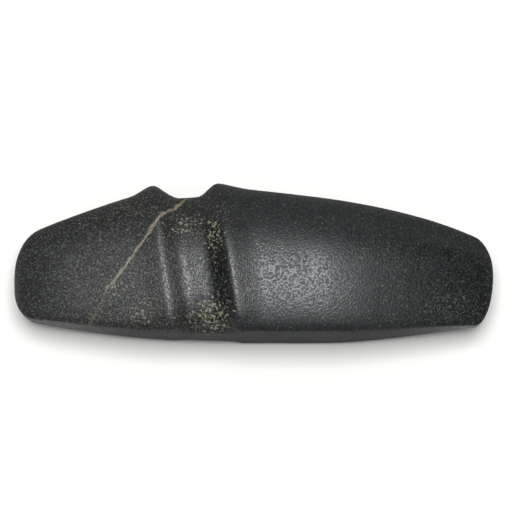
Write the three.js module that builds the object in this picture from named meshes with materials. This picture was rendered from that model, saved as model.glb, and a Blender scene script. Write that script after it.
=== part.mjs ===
// Three-quarter grooved axe head of polished greenstone, lying on one broad face.
// Millimetres: +X runs to the cutting bit, +Y to the grooved front edge, +Z up from the rest.
// The whole head is one stone: a skin worked out from a station s along it (0 at mid-length)
// and an angle round each cross-section (0 flat back, 90 upper face, 180 front edge).
import * as THREE from "three";
import { mergeVertices } from "three/addons/utils/BufferGeometryUtils.js";

// The head's length, and where its ends and the two ridges beside the groove stand on it.
const length = 200;
const pollTip = -length / 2;
const bitTip = length / 2;
const pollRidge = -37;
const bladeRidge = -10.3;
const grooveMiddle = (pollRidge + bladeRidge) / 2;

// The front edge, measured from the head's middle line. From each ridge it tapers evenly, and
// droops by its last number of millimetres at the end of the reach.
const frontReach = 32.5;
const frontRise = 0.058;
const ridgeSoftness = 6;
const pollFront = { taper: 0.192, droop: 5.1, reach: 62, power: 2 };
const bladeFront = { taper: 0.182, droop: 11.1, reach: 110, power: 3.6 };

// The back edge: nearly straight, and drawing in from these stations to both ends.
const backReach = 31.6;
const pollBack = { taper: 0.175, start: -52, softness: 28 };
const bladeBack = { taper: 0.095, start: 38, softness: 14 };

// The section's widest line lies behind the middle, and further behind it towards the poll.
const centreOffset = -4.2;
const pollCentreShift = -4;

// Half thickness: level over the belly, a straight fall to the poll, a convex wedge to the bit.
const belly = 25.3;
const pollThinning = { taper: 0.2, start: -22, softness: 14 };
const wedge = { start: 28, power: 1.5, edgePower: 0.85 };

// How each tip closes: [span over which it closes, power of the superellipse].
const pollFrontCap = [12.5, 2.6];
const pollBackCap = [9.5, 2.5];
const pollFaceCap = [26, 2.2];
const bitFrontCap = [8, 2.3];
const bitBackCap = [8, 1.9];

// Powers of the section's superellipse: fuller than an ellipse, most of all on the faces.
const frontPower = 2.15;
const backPower = 2.3;
const facePower = 2.35;

// The haft groove: its depth on the faces and what the front edge and the back rims add, its
// slant, and its walls, as [start, end] past each ridge crest on the faces and the front edge.
const faceDepth = 3;
const edgeDepth = 1.1;
const rimDepth = 1.4;
const grooveSlant = 0.16;
const slantReach = 50;
const pollWall = { face: [-1.5, 10], edge: [0, 11] };
const bladeWall = { face: [-11, 1.8], edge: [-9, 0.6] };

// The ridges beside it: how far each crest stands proud on the faces and on the front edge,
// how far it lies past its wall, and how wide it slopes into the groove and outwards.
const pollCrest = { face: 0.8, edge: 1, shift: -1, inner: 6, outer: 9 };
const bladeCrest = { face: 2.2, edge: 1, shift: 0.2, inner: 7, outer: 11 };
const crestRounding = 2;
const crestPower = 1.5;
// What each ridge swells further where it crosses the front edge.
const pollSwelling = { rise: 1.3, width: 5.6 };
const bladeSwelling = { rise: 0.5, width: 6.4 };

// Ground flats: the share of the oval left by the flat back, the plane that the back is
// ground to, and how far below the middle plane the underside is worn level.
const backCut = 0.66;
const backSharpness = 14;
const backPlane = -30.5;
const restPlane = -24.7;

const degree = Math.PI / 180;

const { clamp, lerp, smoothstep } = THREE.MathUtils;

// Grows from 0 to the distance itself, turning the corner over the given softness.
const ramp = (distance, softness) => (distance + Math.hypot(distance, softness)) / 2;

const bell = (x) => Math.exp(-x * x);

// A rounded end: 0 at the tip, 1 at the span, a superellipse quarter between them.
function endCap(distance, [span, power]) {
  const left = clamp(1 - distance / span, 0, 1);
  return (1 - left ** power) ** (1 / power);
}

// How far the front edge stands from the middle line.
function frontLine(s) {
  const toPoll = ramp(pollRidge - s, ridgeSoftness);
  const toBit = ramp(s - bladeRidge, ridgeSoftness);
  const pollDroop = pollFront.droop * (toPoll / pollFront.reach) ** pollFront.power;
  const bladeDroop = bladeFront.droop * (toBit / bladeFront.reach) ** bladeFront.power;
  const pollFall = pollFront.taper * toPoll + pollDroop;
  const bladeFall = bladeFront.taper * toBit + bladeDroop;
  return frontReach + frontRise * (s - grooveMiddle) - pollFall - bladeFall;
}

// Where the back edge lies, as a negative distance from the middle line.
function backLine(s) {
  const pollFall = pollBack.taper * ramp(pollBack.start - s, pollBack.softness);
  const bladeFall = bladeBack.taper * ramp(s - bladeBack.start, bladeBack.softness);
  return pollFall + bladeFall - backReach;
}

function halfThickness(s) {
  const pollFall = pollThinning.taper * ramp(pollThinning.start - s, pollThinning.softness);
  const alongBlade = clamp((s - wedge.start) / (bitTip - wedge.start), 0, 1);
  const thinned = (1 - alongBlade ** wedge.power) ** wedge.edgePower;
  return (belly - pollFall) * thinned * endCap(s - pollTip, pollFaceCap);
}

// The ungrooved section: a superellipse, fuller to the front and cut off flat at the back.
function section(s, angle) {
  const centre = centreOffset + pollCentreShift * smoothstep(-s, 60, 100);
  const frontCap = endCap(s - pollTip, pollFrontCap) * endCap(bitTip - s, bitFrontCap);
  const backCap = endCap(s - pollTip, pollBackCap) * endCap(bitTip - s, bitBackCap);
  const frontWidth = (frontLine(s) - centre) * frontCap;
  const backWidth = (centre - backLine(s)) * backCap;
  const across = Math.abs(Math.cos(angle));
  const frontShare = across ** (2 / frontPower);
  const backOval = Math.max(across, 1e-9) ** (2 / backPower) / backCut;
  const backShare = (backOval ** -backSharpness + 1) ** (-1 / backSharpness);
  const y = Math.cos(angle) > 0 ? centre - backWidth * backShare : centre + frontWidth * frontShare;
  const rise = Math.abs(Math.sin(angle)) ** (2 / facePower);
  return new THREE.Vector2(y, halfThickness(s) * Math.sign(Math.sin(angle)) * rise);
}

// A ridge's height by the distance outwards from its crest: a power curve down either side,
// with its top rounded over.
function ridgeHeight(ridge, outwards, onEdge) {
  const away = Math.hypot(outwards, crestRounding) - crestRounding;
  const left = clamp(1 - away / (outwards > 0 ? ridge.outer : ridge.inner), 0, 1);
  return lerp(ridge.face, ridge.edge, onEdge) * left ** crestPower;
}

// How far a wall has risen at a distance past its ridge, between face and front edge.
function wallShare(wall, distance, onEdge) {
  const start = lerp(wall.face[0], wall.edge[0], onEdge);
  const end = lerp(wall.face[1], wall.edge[1], onEdge);
  return smoothstep(distance, start, end);
}

// Depth of the groove below the ungrooved skin, and less than nothing on the ridges. It runs
// over both faces and the front edge, and fades out past the flat back's rims.
function grooveDepth(s, angle) {
  const turn = (1 - Math.cos(angle)) / 2;
  const onFace = smoothstep(turn, 0.03, 0.19);
  const onRidge = smoothstep(turn, 0.12, 0.3);
  const onRim = onFace * (1 - smoothstep(turn, 0.19, 0.42));
  const onEdge = smoothstep(turn, 0.55, 1);
  const pollShare = wallShare(pollWall, s - pollRidge, onEdge);
  const bladeShare = wallShare(bladeWall, s - bladeRidge, onEdge);
  const deepest = faceDepth * onFace + edgeDepth * onEdge + rimDepth * onRim;
  const bowl = deepest * pollShare * (1 - bladeShare);
  const pastPollCrest = s - pollRidge - pollCrest.shift;
  const pastBladeCrest = s - bladeRidge - bladeCrest.shift;
  const pollRise = ridgeHeight(pollCrest, -pastPollCrest, onEdge);
  const bladeRise = ridgeHeight(bladeCrest, pastBladeCrest, onEdge);
  const pollSwell = pollSwelling.rise * bell(pastPollCrest / pollSwelling.width);
  const bladeSwell = bladeSwelling.rise * bell(pastBladeCrest / bladeSwelling.width);
  return bowl - onRidge * (pollRise + bladeRise) - onEdge * (pollSwell + bladeSwell);
}

// A point of the skin: the section sunk towards its middle by the groove, each station
// slanted as the groove is, and the back and the underside cut level by their planes.
function skinPoint(s, angle) {
  const point = section(s, angle);
  const inward = new THREE.Vector2(Math.cos(angle), -Math.sin(angle));
  point.addScaledVector(inward, grooveDepth(s, angle));
  const slant = grooveSlant * bell((s - grooveMiddle) / slantReach);
  const x = s - slant * point.x;
  return new THREE.Vector3(x, Math.max(point.x, backPlane), Math.max(point.y, restPlane));
}

// Values from a start through stretches of [end, steps], evenly spaced in each one.
function stretches(start, list) {
  const values = [start];
  for (const [end, steps] of list) {
    const from = values.at(-1);
    for (let i = 1; i <= steps; i += 1) values.push(lerp(from, end, i / steps));
  }
  return values;
}

// Stations crowd together at both tips, where the skin turns fastest, and in the groove.
const pollEnd = { span: 12, rows: 9 };
const bitEnd = { span: 16, rows: 11 };
const pollRows = stretches(0, [[1, pollEnd.rows]]).map((t) => pollTip + pollEnd.span * t * t);
const bitRows = stretches(1, [[0, bitEnd.rows]]).map((t) => bitTip - bitEnd.span * t * t);
const bodyRows = stretches(pollRows.at(-1), [[-48, 10], [0, 26], [bitRows[0], 16]]).slice(1, -1);
const stations = [...pollRows, ...bodyRows, ...bitRows];

// Half a turn of angles, close together round the corner of the flat back, then its mirror.
const halfTurn = stretches(0, [[36, 3], [56, 5], [150, 12], [180, 4]]).map((a) => a * degree);
const otherHalf = halfTurn.slice(1, -1).reverse().map((a) => -a);
const angles = [...halfTurn, ...otherHalf];

// A sphere's rows and columns become stations and angles, with its poles at the two tips.
function axeHeadGeometry() {
  const sphere = new THREE.SphereGeometry(1, angles.length, stations.length - 1);
  const columns = angles.length + 1;
  const positions = sphere.attributes.position;
  for (let i = 0; i < positions.count; i += 1) {
    const s = stations[Math.floor(i / columns)];
    const angle = angles[(i % columns) % angles.length];
    const point = skinPoint(s, angle);
    positions.setXYZ(i, point.x, point.y, point.z);
  }
  sphere.deleteAttribute("normal");
  sphere.deleteAttribute("uv");
  const geometry = mergeVertices(sphere);
  geometry.computeBoundingBox();
  const centre = geometry.boundingBox.getCenter(new THREE.Vector3());
  geometry.translate(-centre.x, -centre.y, -geometry.boundingBox.min.z);
  geometry.computeVertexNormals();
  return geometry;
}

const greenstone = new THREE.MeshStandardMaterial({
  color: 0x2f3331,
  roughness: 0.38,
  metalness: 0,
});

const axeHead = new THREE.Mesh(axeHeadGeometry(), greenstone);
axeHead.name = "axe_head";

const axe = new THREE.Group();
axe.add(axeHead);

export default axe;
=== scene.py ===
import math
import bpy
import numpy as np
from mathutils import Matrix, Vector


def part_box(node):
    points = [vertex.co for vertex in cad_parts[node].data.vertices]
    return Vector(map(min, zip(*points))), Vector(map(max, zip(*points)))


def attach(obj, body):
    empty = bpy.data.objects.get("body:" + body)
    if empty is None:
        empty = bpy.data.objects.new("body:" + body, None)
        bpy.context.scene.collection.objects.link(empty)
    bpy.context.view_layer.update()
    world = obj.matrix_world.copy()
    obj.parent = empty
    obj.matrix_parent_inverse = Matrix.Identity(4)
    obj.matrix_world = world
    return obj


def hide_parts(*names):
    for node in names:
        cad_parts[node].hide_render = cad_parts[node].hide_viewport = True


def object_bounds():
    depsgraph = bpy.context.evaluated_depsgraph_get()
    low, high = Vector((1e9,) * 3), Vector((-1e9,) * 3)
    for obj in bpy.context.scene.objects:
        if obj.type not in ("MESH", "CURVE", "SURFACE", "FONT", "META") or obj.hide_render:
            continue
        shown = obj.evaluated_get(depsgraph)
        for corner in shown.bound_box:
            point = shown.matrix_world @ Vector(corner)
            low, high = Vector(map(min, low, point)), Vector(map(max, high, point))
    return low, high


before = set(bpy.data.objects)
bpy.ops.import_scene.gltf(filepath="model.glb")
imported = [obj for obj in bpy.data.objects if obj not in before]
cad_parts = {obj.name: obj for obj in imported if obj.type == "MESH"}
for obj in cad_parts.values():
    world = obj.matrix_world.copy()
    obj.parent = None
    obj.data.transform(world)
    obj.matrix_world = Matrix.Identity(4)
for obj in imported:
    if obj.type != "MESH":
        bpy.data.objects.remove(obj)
cadLow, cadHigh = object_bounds()
millimetre = 0.001
print("frame loaded")

# Above the head and a little to its flat back, looking down with the bit to the right.
cameraView = {
    "elevation": 80.6,  # degrees above the table
    "distance": 1.0,
    "lens": 168.1,  # millimetres, and so is the sensor's width
    "sensor": 36,
    "aimRight": 0.0009,  # the middle of the view, from the head's own middle
    "aimUp": 0.00209,
    "aimHeight": 0.024,
}


def addCamera(view):
    # it leans back from straight down by what the elevation lacks of 90 degrees
    tilt = math.radians(view["elevation"])
    back = Vector((0, -math.cos(tilt), math.sin(tilt)))
    up = Vector((0, math.sin(tilt), math.cos(tilt)))
    camera = bpy.data.objects.new("camera", bpy.data.cameras.new("camera"))
    camera.data.sensor_width = view["sensor"]
    camera.data.lens = view["lens"]
    middle = (cadLow + cadHigh) / 2
    aim = Vector((middle.x + view["aimRight"], middle.y, view["aimHeight"])) + up * view["aimUp"]
    camera.location = aim + back * view["distance"]
    camera.rotation_euler = (math.pi / 2 - tilt, 0, 0)
    bpy.context.scene.collection.objects.link(camera)
    bpy.context.scene.camera = camera


def linearColour(hexText):
    # sRGB to linear: a straight foot below 0.04045, and a 2.4 power above it
    value = np.array([int(hexText[i:i + 2], 16) for i in (1, 3, 5)]) / 255
    linear = np.where(value <= 0.04045, value / 12.92, ((value + 0.055) / 1.055) ** 2.4)
    return (*map(float, linear), 1.0)


def newMaterial(name):
    material = bpy.data.materials.new(name)
    material.use_nodes = True
    material.node_tree.nodes.clear()
    return material, material.node_tree


def addNode(tree, kind, inputs=None, output=None, stops=None, **settings):
    # an input takes a value or a socket to link from; stops are a colour ramp's [place, hex]
    node = tree.nodes.new("ShaderNode" + kind)
    for name, value in settings.items():
        setattr(node, name, value)
    for name, value in (inputs or {}).items():
        if isinstance(value, bpy.types.NodeSocket):
            tree.links.new(value, node.inputs[name])
        else:
            node.inputs[name].default_value = value
    for number, (place, hexText) in enumerate(stops or []):
        elements = node.color_ramp.elements
        element = elements[number] if number < 2 else elements.new(place)
        element.position, element.color = place, linearColour(hexText)
    return node.outputs[output] if output else node


# The table is a sheet of pale grey card, light enough to come out white. A soft box hangs almost
# overhead, with a dim and much wider panel above it, in a dim room.
studio = {
    "card": "#d8d8d6",
    "cardSize": 6.0,  # metres
    "cardRoughness": 0.95,
    "cardGloss": 0.1,
    "roomLow": 0.06,  # brightness of the room at the horizon and overhead
    "roomHigh": 0.04,
    "boxSize": 0.6,  # metres, distances too, and powers in watts
    "boxDistance": 1.6,
    "boxLean": 2,  # degrees from straight overhead, towards the flat back
    "boxPower": 30,
    "panelSize": 2.6,
    "panelDistance": 1.7,
    "panelLean": 0,
    "panelPower": 20,
}


def addStudio(look):
    half = look["cardSize"] / 2
    mesh = bpy.data.meshes.new("card")
    corners = [(-half, -half, 0), (half, -half, 0), (half, half, 0), (-half, half, 0)]
    mesh.from_pydata(corners, [], [(0, 1, 2, 3)])
    card = bpy.data.objects.new("card", mesh)
    bpy.context.scene.collection.objects.link(card)
    # uncoated card has next to no gloss, so the eye gets only the head's soft shadow on it
    material, tree = newMaterial("Pale grey card, uncoated")
    shader = addNode(tree, "BsdfPrincipled", {
        "Base Color": linearColour(look["card"]), "Roughness": look["cardRoughness"],
        "Specular IOR Level": look["cardGloss"]}, "BSDF")
    addNode(tree, "OutputMaterial", {"Surface": shader})
    mesh.materials.append(material)

    for name in ("box", "panel"):
        light = bpy.data.lights.new(name, "AREA")
        light.size, light.energy = look[name + "Size"], look[name + "Power"]
        lamp = bpy.data.objects.new(name, light)
        lamp.rotation_euler = (-math.radians(look[name + "Lean"]), 0, 0)
        lamp.location = lamp.rotation_euler.to_matrix() @ Vector((0, 0, look[name + "Distance"]))
        bpy.context.scene.collection.objects.link(lamp)

    world = bpy.data.worlds.new("dimRoom")
    world.use_nodes = True
    tree = world.node_tree
    tree.nodes.clear()
    direction = addNode(tree, "TexCoord", output="Generated")
    upward = addNode(tree, "SeparateXYZ", {"Vector": direction}, "Z")
    strength = addNode(tree, "MapRange", {
        "Value": upward, "To Min": look["roomLow"], "To Max": look["roomHigh"]}, "Result")
    background = addNode(tree, "Background", {"Strength": strength}, "Background")
    addNode(tree, "OutputWorld", {"Surface": background})
    bpy.context.scene.world = world
    bpy.context.scene.view_settings.view_transform = "Standard"


addCamera(cameraView)
addStudio(studio)
print("camera, table and light set")


def smoothStep(start, end, x):
    # 0 before start, 1 after end, 3t^2 - 2t^3 between
    t = np.clip((x - start) / (end - start), 0, 1)
    return t * t * (3 - 2 * t)


def bell(x):
    # e to the power of minus x squared: 1 at 0, and next to nothing from 2 outwards
    return np.exp(-x * x)


def ramp(distance, softness):
    # grows from 0 to the distance itself, turning the corner over the softness
    return (distance + np.hypot(distance, softness)) / 2


def endCap(distance, shape):
    # 0 at the tip and 1 at the span, by a quarter of a superellipse
    span, power = shape
    left = np.clip(1 - distance / span, 0, 1)
    return (1 - left ** power) ** (1 / power)


def latticeNoise(points, cell, seed):
    # random numbers from -1 to 1 on the corners of cubes of side cell, blended along each axis
    # by 6t^5 - 15t^4 + 10t^3
    side = 64
    table = np.random.default_rng(seed).uniform(-1, 1, (side, side, side))
    place = points / cell + side / 2
    base = np.floor(place).astype(int)
    t = place - base
    t = t ** 3 * (t * (t * 6 - 15) + 10)
    total = np.zeros(points.shape[:-1])
    for corner in np.ndindex(2, 2, 2):
        index = (base + corner) % side
        share = np.prod(np.where(corner, t, 1 - t), axis=-1)
        total += share * table[index[..., 0], index[..., 1], index[..., 2]]
    return total


# Millimetres. A station s runs along the head from its middle, towards the bit, and an angle
# runs round it: 0 at the flat back, 90 on the upper face, 180 at the grooved front edge.
axeForm = {
    "pollTip": -100, "bitTip": 100, "pollRidge": -37, "bladeRidge": -10.3,
    "frontReach": 32.5, "frontRise": 0.058, "ridgeSoftness": 6, "backReach": 31.6,
    "pollFront": [0.192, 5.1, 62, 2],  # taper, droop, reach, power
    "bladeFront": [0.182, 11.1, 110, 3.6],
    "pollBack": [0.175, -52, 28], "bladeBack": [0.095, 38, 14],  # taper, start, softness
    "belly": 25.3, "pollThinning": [0.2, -22, 14], "wedge": [28, 1.5, 0.85],
    "pollCaps": [[12.5, 2.6], [9.5, 2.5], [26, 2.2]],  # front, back and faces: span, power
    "bitCaps": [[8, 2.3], [8, 1.9]],
    "centre": -4.2, "pollCentre": [-4, 60, 100],  # the widest line, its shift at the poll, from, to
    "frontPower": 2.15, "backPower": 2.3, "facePower": 2.35,  # of the section's superellipse
    "faceDepth": 3, "edgeDepth": 1.1, "rimDepth": 1.4, "grooveSlant": 0.16, "slantReach": 50,
    # where the groove comes in on the faces, its ridges come in, its rims end and its edge part
    # comes in, by the share of the way round from the back to the front edge
    "faceTurn": [0.03, 0.19], "ridgeTurn": [0.12, 0.3],
    "rimTurn": [0.19, 0.42], "edgeTurn": [0.55, 1],
    # walls: start and end past each ridge, on the faces and on the front edge
    "pollWall": [[-1.5, 10], [0, 11]], "bladeWall": [[-11, 1.8], [-9, 0.6]],
    # ridges: rise on the faces and on the front edge, crest's shift, width inwards and outwards
    "pollCrest": [0.8, 1, -1, 6, 9], "bladeCrest": [2.2, 1, 0.2, 7, 11],
    "crestRounding": 2, "crestPower": 1.5,
    "pollSwelling": [1.3, 5.6], "bladeSwelling": [0.5, 6.4],  # rise and width on the front edge
    "backCut": 0.66, "backSharpness": 14, "backPlane": -30.5, "restPlane": -24.7,
    "stations": 388, "angles": 256,
}
grooveMiddle = (axeForm["pollRidge"] + axeForm["bladeRidge"]) / 2


def frontLine(s):
    # how far the grooved edge stands from the middle line: a gentle rise, less an even taper and
    # a droop of (distance / span)^power each way from the ridges
    reach = axeForm["frontReach"] + axeForm["frontRise"] * (s - grooveMiddle)
    for side, outwards in (("poll", -1), ("blade", 1)):
        taper, droop, span, power = axeForm[side + "Front"]
        away = ramp(outwards * (s - axeForm[side + "Ridge"]), axeForm["ridgeSoftness"])
        reach = reach - taper * away - droop * (away / span) ** power
    return reach


def backLine(s):
    # nearly straight, and drawing in by an even taper past a start at both ends
    pollTaper, pollStart, pollSoftness = axeForm["pollBack"]
    bladeTaper, bladeStart, bladeSoftness = axeForm["bladeBack"]
    atPoll = pollTaper * ramp(pollStart - s, pollSoftness)
    atBlade = bladeTaper * ramp(s - bladeStart, bladeSoftness)
    return atPoll + atBlade - axeForm["backReach"]


def halfThickness(s):
    # level over the belly, a straight fall to the rounded poll, (1 - t^1.5)^0.85 along the blade
    taper, start, softness = axeForm["pollThinning"]
    wedgeStart, power, edgePower = axeForm["wedge"]
    t = np.clip((s - wedgeStart) / (axeForm["bitTip"] - wedgeStart), 0, 1)
    full = axeForm["belly"] - taper * ramp(start - s, softness)
    cap = endCap(s - axeForm["pollTip"], axeForm["pollCaps"][2])
    return full * (1 - t ** power) ** edgePower * cap


def section(s, angle):
    # a superellipse round a centre line: |cos|^(2/power) of the width, and |sin|^(2/power) of the
    # half thickness, fuller to the front and cut off flat at the back
    pollShift, shiftStart, shiftEnd = axeForm["pollCentre"]
    centre = axeForm["centre"] + pollShift * smoothStep(shiftStart, shiftEnd, -s)
    fromPoll, fromBit = s - axeForm["pollTip"], axeForm["bitTip"] - s
    frontCap = endCap(fromPoll, axeForm["pollCaps"][0]) * endCap(fromBit, axeForm["bitCaps"][0])
    backCap = endCap(fromPoll, axeForm["pollCaps"][1]) * endCap(fromBit, axeForm["bitCaps"][1])
    across, upwards = np.abs(np.cos(angle)), np.abs(np.sin(angle))
    sharpness = axeForm["backSharpness"]
    backOval = np.maximum(across, 1e-9) ** (2 / axeForm["backPower"]) / axeForm["backCut"]
    backShare = (backOval ** -sharpness + 1) ** (-1 / sharpness)
    backY = centre - (centre - backLine(s)) * backCap * backShare
    frontShare = across ** (2 / axeForm["frontPower"])
    frontY = centre + (frontLine(s) - centre) * frontCap * frontShare
    y = np.where(np.cos(angle) > 0, backY, frontY)
    z = halfThickness(s) * np.sign(np.sin(angle)) * upwards ** (2 / axeForm["facePower"])
    return y, z


def grooveDepth(s, angle):
    # a bowl between two ridges, over both faces and the front edge, fading past the flat back's
    # rims; a ridge is (1 - distance / width)^1.5 on either side of its rounded crest
    turn = (1 - np.cos(angle)) / 2
    onFace = smoothStep(*axeForm["faceTurn"], turn)
    onRidge = smoothStep(*axeForm["ridgeTurn"], turn)
    onRim = onFace * (1 - smoothStep(*axeForm["rimTurn"], turn))
    onEdge = smoothStep(*axeForm["edgeTurn"], turn)
    depth = axeForm["faceDepth"] * onFace + axeForm["edgeDepth"] * onEdge
    depth = depth + axeForm["rimDepth"] * onRim
    for side, risesAgain in (("poll", 0), ("blade", 1)):
        past = s - axeForm[side + "Ridge"]
        onFaces, onFront = np.array(axeForm[side + "Wall"])
        start = onFaces[0] + (onFront[0] - onFaces[0]) * onEdge
        end = onFaces[1] + (onFront[1] - onFaces[1]) * onEdge
        depth = depth * np.abs(risesAgain - smoothStep(start, end, past))
    for side, outwards in (("poll", -1), ("blade", 1)):
        onFaces, onFront, crestShift, inner, outer = axeForm[side + "Crest"]
        swelling, width = axeForm[side + "Swelling"]
        past = s - axeForm[side + "Ridge"] - crestShift
        away = np.hypot(past, axeForm["crestRounding"]) - axeForm["crestRounding"]
        left = np.clip(1 - away / np.where(past * outwards > 0, outer, inner), 0, 1)
        rise = (onFaces + (onFront - onFaces) * onEdge) * left ** axeForm["crestPower"]
        depth = depth - onRidge * rise - onEdge * swelling * bell(past / width)
    return depth


def stoneSkin(s, angle):
    # the section sunk towards its middle by the groove, each station slanted as the groove is
    y, z = section(s, angle)
    depth = grooveDepth(s, angle)
    y = y + depth * np.cos(angle)
    z = z - depth * np.sin(angle)
    x = s - axeForm["grooveSlant"] * bell((s - grooveMiddle) / axeForm["slantReach"]) * y
    return np.stack([x, y, z], axis=-1)


def gridNormals(points):
    # the way along the head crossed with the way round it
    along = np.gradient(points, axis=0)
    wrapped = np.concatenate([points[:, -1:], points, points[:, :1]], axis=1)
    around = (wrapped[:, 2:] - wrapped[:, :-2]) / 2
    normal = np.cross(along, around)
    return normal / (np.linalg.norm(normal, axis=-1, keepdims=True) + 1e-12)


def closedSkin(name, rows, firstTip, lastTip, values):
    # rows of points joined into quads, closed round each row, with a fan to a pole at both ends
    count, around = rows.shape[:2]
    points = np.concatenate([[firstTip], rows.reshape(-1, 3), [lastTip]]) * millimetre
    row = np.arange(count - 1)[:, None] * around
    here = np.arange(around)[None, :]
    after = (here + 1) % around
    quads = np.stack([row + here, row + around + here, row + around + after, row + after], -1) + 1
    edge = np.arange(around)
    turned = (edge + 1) % around
    start = 1 + (count - 1) * around
    firstFan = np.stack([np.zeros(around, int), 1 + edge, 1 + turned], -1)
    lastFan = np.stack([np.full(around, len(points) - 1), start + turned, start + edge], -1)
    mesh = bpy.data.meshes.new(name)
    faces = firstFan.tolist() + quads.reshape(-1, 4).tolist() + lastFan.tolist()
    mesh.from_pydata(points, [], faces)
    mesh.polygons.foreach_set("use_smooth", np.ones(len(mesh.polygons), bool))
    for label, grid in values.items():
        padded = np.concatenate([[grid[0].mean()], grid.ravel(), [grid[-1].mean()]])
        attribute = mesh.attributes.new(label, "FLOAT", "POINT")
        attribute.data.foreach_set("value", padded.astype(np.float32))
    mesh.update()
    piece = bpy.data.objects.new(name, mesh)
    bpy.context.scene.collection.objects.link(piece)
    return piece


# Finer shape than the solid's facets: how high each kind swells, how wide, and its random seed.
stoneRelief = {
    "slab": [0.16, 26, 3],  # millimetres: long soft facets from the grinding slab
    "slabStretch": 0.6,
    "grit": [0.05, 9, 4],
    "pecks": [0.07, 2.1, 5],  # the hammerstone's dimples, where the polish is thin
    "groovePecks": [-42, -30, -14, -6],  # they come in and go out again at these stations
    "pollPecks": [80, 98, 0.5],  # and come in once more at the poll: from, to, share
    "tipFade": 6,
    "flatFade": [1.2, 0.6],  # how near the ground back the relief weakens, and by what share
}


def relieved(rows, s):
    # the skin moved along its normals by lattice noise, faded at the tips and on the flats
    slabHeight, slabWidth, slabSeed = stoneRelief["slab"]
    gritHeight, gritWidth, gritSeed = stoneRelief["grit"]
    peckHeight, peckWidth, peckSeed = stoneRelief["pecks"]
    comesIn, isIn, goesOut, isOut = stoneRelief["groovePecks"]
    inGroove = smoothStep(comesIn, isIn, s) * (1 - smoothStep(goesOut, isOut, s))
    pollStart, pollEnd, pollShare = stoneRelief["pollPecks"]
    pecked = np.clip(inGroove + pollShare * smoothStep(pollStart, pollEnd, -s), 0, 1)
    flatReach, flatShare = stoneRelief["flatFade"]
    backPlane = axeForm["backPlane"]
    flat = smoothStep(backPlane + flatReach, backPlane, rows[..., 1])
    stretched = rows * [stoneRelief["slabStretch"], 1, 1]
    relief = slabHeight * latticeNoise(stretched, slabWidth, slabSeed)
    relief += gritHeight * latticeNoise(rows, gritWidth, gritSeed)
    dimples = np.maximum(latticeNoise(rows, peckWidth, peckSeed), 0)
    relief -= peckHeight * pecked * dimples
    fromTips = np.minimum(s - axeForm["pollTip"], axeForm["bitTip"] - s)
    atTips = smoothStep(0, stoneRelief["tipFade"], fromTips)
    rows = rows + gridNormals(rows) * (relief * atTips * (1 - flatShare * flat))[..., None]
    rows[..., 1] = np.maximum(rows[..., 1], backPlane)
    rows[..., 2] = np.maximum(rows[..., 2], axeForm["restPlane"])
    return rows


# What the stone shows on its skin, in millimetres from the head's middle.
stoneMarks = {
    # where pale grains crowd together: [x, y, radius along, radius across, share]
    "paleGrains": [[-28, 12, 8, 7, 0.85], [-16.5, 7, 4.5, 13, 0.95], [-17, -25, 10, 11, 1.0],
                   [-29, -9, 3, 10, 0.6], [-57, -15, 6, 5, 0.8], [-46, -23, 9, 6, 0.8]],
    "crowdHeights": [10, 30],  # they come in between these heights, so on the upper face alone
    # the same for the fine olive and green flecks, over what the poll and the blade have
    "greenFlecks": [[82, -20, 18, 10, 0.85]],
    "pollFlecks": [-50, 0, 0.8],  # the poll's flecks thin out from, to, by this share
    "veinStart": [-28.6, 25.1, 30],  # where the vein comes over the front edge, and its heading
    "veinHeading": [0.579, 0.815],
    "veinLean": 0.236,  # its sideways shift for each millimetre of height
    # how far it strays sideways from that heading: [along, sideways]
    "veinCourse": [[-20, 1], [0, 1.2], [7.5, 2], [12, 0.6], [22, 1.4], [32, 1], [39.5, 1.3],
                   [43, 0.8], [47, 0.6], [51, -0.4], [57.5, 1.3], [63, 0.9], [90, 1]],
    # where the polish is missing: over the back's rim, round the front edge, and on the poll
    "dullBack": [-27, -32],
    "dullFront": [0.66, 0.9],
    "dullPoll": [38, 60, 0.35],  # from, to, share
}


def crowd(start, places, x, y, shown):
    # the highest of a start and of a bell round each place
    share = start
    for middleX, middleY, radiusX, radiusY, most in places:
        spread = np.hypot((x - middleX) / radiusX, (y - middleY) / radiusY)
        share = np.maximum(share, most * shown * bell(spread))
    return share


def markStone(rows, s, angle):
    # grains crowd in bells; the vein is a plane bent by its course, and its offset is how far a
    # point lies from that plane; the polish is 1, less its missing shares
    x, y, z = rows[..., 0], rows[..., 1], rows[..., 2]
    upper = smoothStep(*stoneMarks["crowdHeights"], z)
    thinStart, thinEnd, thinShare = stoneMarks["pollFlecks"]
    thinned = 1 - thinShare * smoothStep(thinStart, thinEnd, x)
    startX, startY, startZ = stoneMarks["veinStart"]
    headingX, headingY = stoneMarks["veinHeading"]
    along = -((x - startX) * headingX + (y - startY) * headingY)
    across = (x - startX) * headingY - (y - startY) * headingX
    across = across + stoneMarks["veinLean"] * (z - startZ)
    course = np.array(stoneMarks["veinCourse"])
    back = smoothStep(*stoneMarks["dullBack"], y)
    front = smoothStep(*stoneMarks["dullFront"], (1 - np.cos(angle)) / 2)
    dullStart, dullEnd, dullShare = stoneMarks["dullPoll"]
    poll = dullShare * smoothStep(dullStart, dullEnd, -s)
    return {
        "paleGrains": crowd(np.zeros(x.shape), stoneMarks["paleGrains"], x, y, upper),
        "flecks": crowd(thinned, stoneMarks["greenFlecks"], x, y, upper),
        "veinOffset": across - np.interp(along, course[:, 0], course[:, 1]),
        "veinAlong": along,
        "polish": (1 - back) * (1 - front) * (1 - poll),
    }


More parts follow.
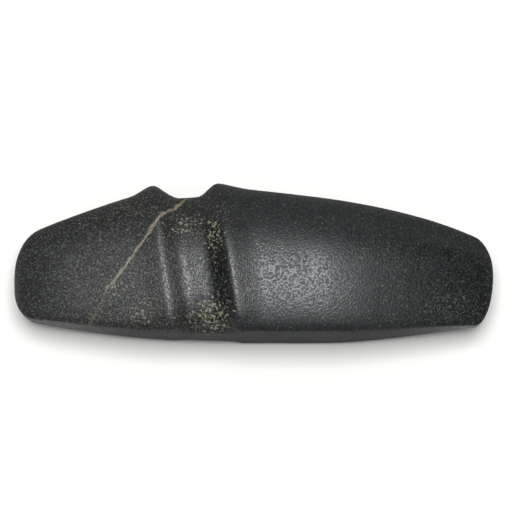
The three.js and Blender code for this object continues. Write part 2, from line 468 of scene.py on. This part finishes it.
def buildAxe():
    # stations close together at both tips, by the cosine of an even count
    turn = np.linspace(0, math.pi, axeForm["stations"])[1:-1, None]
    span = axeForm["bitTip"] - axeForm["pollTip"]
    s = axeForm["pollTip"] + span * (1 - np.cos(turn)) / 2
    angle = np.linspace(0, 2 * math.pi, axeForm["angles"], endpoint=False)[None, :]
    rows = relieved(stoneSkin(s, angle), s)
    ends = np.array([[axeForm["pollTip"]], [axeForm["bitTip"]]])
    tips = stoneSkin(ends, np.zeros((1, 1)))[:, 0]
    # into the frame: the solid's own box gives the middle, and its underside the table
    everything = np.concatenate([rows.reshape(-1, 3), tips])
    boxLow, boxHigh = (np.array(corner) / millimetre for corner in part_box("axe_head"))
    shift = (boxLow + boxHigh) / 2 - (everything.min(0) + everything.max(0)) / 2
    shift[2] = boxLow[2] - axeForm["restPlane"]
    rows += shift
    tips += shift
    return closedSkin("axe_stone", rows, tips[0], tips[1], markStone(rows, s, angle))


# Greenstone (fine-grained diorite), pecked, ground with grit and rubbed to a polish by hand:
# near black with small grey-green and cream grains, and a broad satin sheen that breaks into
# bright and dull grains where a soft light is mirrored, because the soft ones lie a little low.
greenstone = {
    "grains": [[0.36, "#010202"], [0.50, "#060708"], [0.62, "#111516"], [0.74, "#282e2f"]],
    "fleck": "#5b5e52",
    "cream": "#757260",
    "vein": "#777260",
    # the whole is tinted a little, by the share of the way from poll to bit: greener towards the poll
    # and bluer towards the bit, and darker towards both ends (most at the poll), which is painted shade
    # where the head slopes away from the light
    "tintsAndEndShade": [[0.05, "#d4dad6"], [0.36, "#f6f6ee"], [0.54, "#dceef8"], [0.85, "#d2eeee"]],
    "grainWidth": 0.9,  # millimetres
    "fleckWidth": 0.8,
    "creamWidth": 1.1,
    "patchWidth": 5.0,
    "patchiness": 0.12,
    # a grain shows where its noise is over a line: [line where sparse, line where crowded]
    "fleckLines": [0.63, 0.53],
    "fleckEdge": [0.12, 0.6],  # how far over the line it is full, and how strong it then is
    "creamLines": [0.70, 0.50],
    "creamEdge": [0.07, 0.9],
    "wanderLength": 2.5,  # the vein's wanderings and how far they go, in millimetres
    "wander": 0.5,
    "swellingLength": 10 / 3,  # its thick and thin stretches, and half its width in them
    "veinHalfWidths": [0.6, 1.1],
    "veinSoftness": 1.3,  # how far out it ends, in half widths
    "veinFade": [44, 54, 0.25],  # from, to, what is left of it
    "veinBreaks": [0.35, 0.6, 0.45],
    "softGrains": [0.42, 0.56],  # noise under which a grain stays dull, and over which it shines
    "dullRoughness": 0.58,
    "polishedRoughness": 0.36,
    "unpolished": 0.45,  # what the roughness gains where the polish is missing
    "ior": 1.5,
    "sheen": "#fafbff",
    "bumpWidth": 0.85,  # millimetres, and so is the height
    "bumpHeight": 0.16,
}


def stoneMaterial(look):
    material, tree = newMaterial("Greenstone, ground and polished")
    place = addNode(tree, "TexCoord", output="Object")
    inMm = addNode(tree, "VectorMath", {0: place, "Scale": 1 / millimetre}, "Vector", operation="SCALE")
    paleGrains, flecks, veinOffset, veinAlong, polish = [
        addNode(tree, "Attribute", output="Fac", attribute_name=name)
        for name in ("paleGrains", "flecks", "veinOffset", "veinAlong", "polish")]

    # groundmass: fine noise from black to grey-green, lighter in patches
    grainNoise = addNode(tree, "TexNoise", {
        "Vector": inMm, "Scale": 1 / look["grainWidth"], "Detail": 2.5, "Roughness": 0.6}, "Fac")
    patches = addNode(tree, "TexNoise", {
        "Vector": inMm, "Scale": 1 / look["patchWidth"], "Detail": 2}, "Fac")
    patchShift = addNode(tree, "MapRange", {
        "Value": patches, "From Min": 0.3, "From Max": 0.7,
        "To Min": -look["patchiness"] / 2, "To Max": look["patchiness"] / 2}, "Result")
    shade = addNode(tree, "Math", {0: grainNoise, 1: patchShift}, "Value", operation="ADD")
    ground = addNode(tree, "ValToRGB", {"Fac": shade}, "Color", stops=look["grains"])

    # fine olive and green flecks: the crests of a finer noise, lower where they are thick
    fleckNoise = addNode(tree, "TexNoise", {
        "Vector": inMm, "Scale": 1 / look["fleckWidth"], "Detail": 1.5, "Roughness": 0.5,
        "Distortion": 0.3}, "Fac")
    fleckLine = addNode(tree, "MapRange", {
        "Value": flecks, "To Min": look["fleckLines"][0], "To Max": look["fleckLines"][1]},
        "Result")
    fleckRise = addNode(tree, "Math", {0: fleckNoise, 1: fleckLine}, "Value", operation="SUBTRACT")
    fleckShare = addNode(tree, "MapRange", {
        "Value": fleckRise, "From Max": look["fleckEdge"][0], "To Max": look["fleckEdge"][1]},
        "Result")
    grains = addNode(tree, "Mix", {
        "Factor": fleckShare, "A": ground, "B": linearColour(look["fleck"])},
        "Result", data_type="RGBA")

    # the whole is a little greener towards the poll and bluer towards the bit, and darker at both ends,
    # most at the poll: that darkening is painted shade where the head slopes away from the light
    alongHead = addNode(tree, "SeparateXYZ", {"Vector": inMm}, "X")
    headShare = addNode(tree, "MapRange", {
        "Value": alongHead, "From Min": axeForm["pollTip"], "From Max": axeForm["bitTip"]},
        "Result")
    tintAndEndShade = addNode(tree, "ValToRGB", {"Fac": headShare}, "Color", stops=look["tintsAndEndShade"])
    body = addNode(tree, "Mix", {"Factor": 1, "A": grains, "B": tintAndEndShade},
                   "Result", data_type="RGBA", blend_type="MULTIPLY")

    # cream feldspar: the crests of another noise, joined up into a net where the grains crowd
    creamNoise = addNode(tree, "TexNoise", {
        "Vector": inMm, "Scale": 1 / look["creamWidth"], "Detail": 2, "Roughness": 0.6,
        "Distortion": 0.6}, "Fac")
    creamLine = addNode(tree, "MapRange", {
        "Value": paleGrains, "To Min": look["creamLines"][0], "To Max": look["creamLines"][1]},
        "Result")
    creamRise = addNode(tree, "Math", {0: creamNoise, 1: creamLine}, "Value", operation="SUBTRACT")
    creamShare = addNode(tree, "MapRange", {
        "Value": creamRise, "From Max": look["creamEdge"][0], "To Max": look["creamEdge"][1]},
        "Result")
    speckled = addNode(tree, "Mix", {
        "Factor": creamShare, "A": body, "B": linearColour(look["cream"])},
        "Result", data_type="RGBA")

    # the vein: a thin sheet of tan mineral, wandering, broken by grains, and faint at its far end
    wanderNoise = addNode(tree, "TexNoise", {
        "Vector": inMm, "Scale": 1 / look["wanderLength"], "Detail": 4}, "Fac")
    wander = addNode(tree, "MapRange", {
        "Value": wanderNoise, "From Min": 0.3, "From Max": 0.7,
        "To Min": -look["wander"], "To Max": look["wander"]}, "Result")
    strayed = addNode(tree, "Math", {0: veinOffset, 1: wander}, "Value", operation="ADD")
    distance = addNode(tree, "Math", {0: strayed}, "Value", operation="ABSOLUTE")
    widthNoise = addNode(tree, "TexNoise", {
        "Vector": inMm, "Scale": 1 / look["swellingLength"], "Detail": 3}, "Fac")
    halfWidth = addNode(tree, "MapRange", {
        "Value": widthNoise, "From Min": 0.35, "From Max": 0.65,
        "To Min": look["veinHalfWidths"][0], "To Max": look["veinHalfWidths"][1]}, "Result")
    nearness = addNode(tree, "Math", {0: distance, 1: halfWidth}, "Value", operation="DIVIDE")
    sheet = addNode(tree, "MapRange", {
        "Value": nearness, "From Min": look["veinSoftness"], "From Max": 0},
        "Result", interpolation_type="SMOOTHSTEP")
    fadeStart, fadeEnd, fadeLeft = look["veinFade"]
    fade = addNode(tree, "MapRange", {
        "Value": veinAlong, "From Min": fadeStart, "From Max": fadeEnd,
        "To Min": 1, "To Max": fadeLeft}, "Result")
    breakStart, breakEnd, breakLeft = look["veinBreaks"]
    broken = addNode(tree, "MapRange", {
        "Value": grainNoise, "From Min": breakStart, "From Max": breakEnd,
        "To Min": breakLeft, "To Max": 1}, "Result")
    whole = addNode(tree, "Math", {0: sheet, 1: fade}, "Value", operation="MULTIPLY")
    veinShare = addNode(tree, "Math", {0: whole, 1: broken}, "Value", operation="MULTIPLY")
    colour = addNode(tree, "Mix", {
        "Factor": veinShare, "A": speckled, "B": linearColour(look["vein"])},
        "Result", data_type="RGBA")

    # sheen: hard grains took the polish, soft ones stayed dull and lie a little low
    hardness = addNode(tree, "TexNoise", {
        "Vector": inMm, "Scale": 1 / look["bumpWidth"], "Detail": 2, "Roughness": 0.5}, "Fac")
    taken = addNode(tree, "MapRange", {
        "Value": hardness, "From Min": look["softGrains"][0], "From Max": look["softGrains"][1]},
        "Result")
    polished = addNode(tree, "MapRange", {
        "Value": taken, "To Min": look["dullRoughness"], "To Max": look["polishedRoughness"]},
        "Result")
    missing = addNode(tree, "MapRange", {
        "Value": polish, "From Min": 1, "From Max": 0, "To Max": 1}, "Result")
    roughness = addNode(tree, "Math", {0: missing, 1: look["unpolished"], 2: polished}, "Value",
                        operation="MULTIPLY_ADD")
    bump = addNode(tree, "Bump", {
        "Height": hardness, "Distance": look["bumpHeight"] * millimetre}, "Normal")
    shader = addNode(tree, "BsdfPrincipled", {
        "Base Color": colour, "Roughness": roughness, "IOR": look["ior"], "Normal": bump,
        "Specular Tint": linearColour(look["sheen"])}, "BSDF")
    addNode(tree, "OutputMaterial", {"Surface": shader})
    return material


axe = buildAxe()
axe.data.materials.append(stoneMaterial(greenstone))
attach(axe, "root")
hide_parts("axe_head")
print("axe head shaped and finished")
